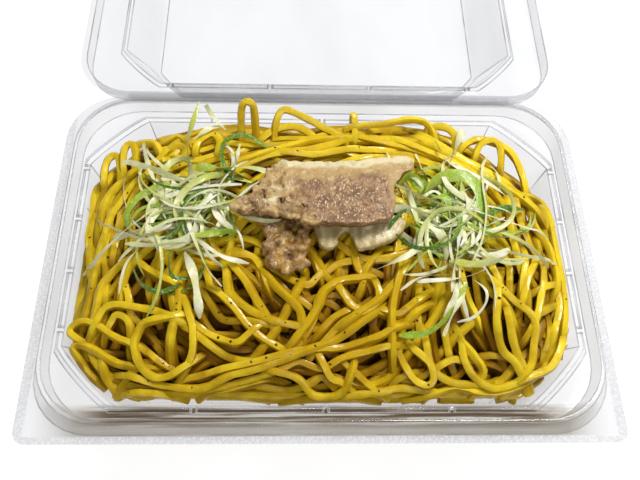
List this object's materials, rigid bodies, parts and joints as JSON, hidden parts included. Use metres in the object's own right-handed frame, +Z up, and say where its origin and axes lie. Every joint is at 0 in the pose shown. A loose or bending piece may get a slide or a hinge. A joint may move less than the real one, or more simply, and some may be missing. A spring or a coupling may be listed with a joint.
{
  "type": "noodle takeaway box",
  "caption": "Clear hinged takeaway tray heaped with yellow noodles, topped with pork slices and two tufts of shredded onion, its lid swung open behind it.",
  "frame": {"origin": "centre of the underside of the tray, on the surface that it stands on", "axes": "+Z up, +Y from the front edge towards the hinge and the open lid, +X to the right seen from the front"},
  "size_m": [0.19, 0.263, 0.0551],
  "materials": {
    "clear_sheet": "thin clear thermoformed sheet, glossy, with a fine knurl pressed into the flange",
    "noodle": "golden yellow boiled noodle with a thin film of oil",
    "pork_lean": "moist boiled pork, purple-brown lean with beige fat",
    "pork_fat": "moist translucent white pork fat",
    "onion": "fresh shredded onion, white to green, moist"
  },
  "bodies": {
    "base": {"tray": "clear_sheet", "noodles": "noodle", "pork_slice": "pork_lean", "pork_torn": "pork_lean", "pork_fat": "pork_fat", "onion_left": "onion", "onion_right": "onion"},
    "cover": {"lid": "clear_sheet"}
  },
  "joints": [
    {"name": "lid_hinge", "type": "hinge", "parent": "base", "child": "cover", "pos_m": [0, 0.0659, 0.03045], "axis": [1, 0, 0], "range_deg": [0, 180]}
  ]
}
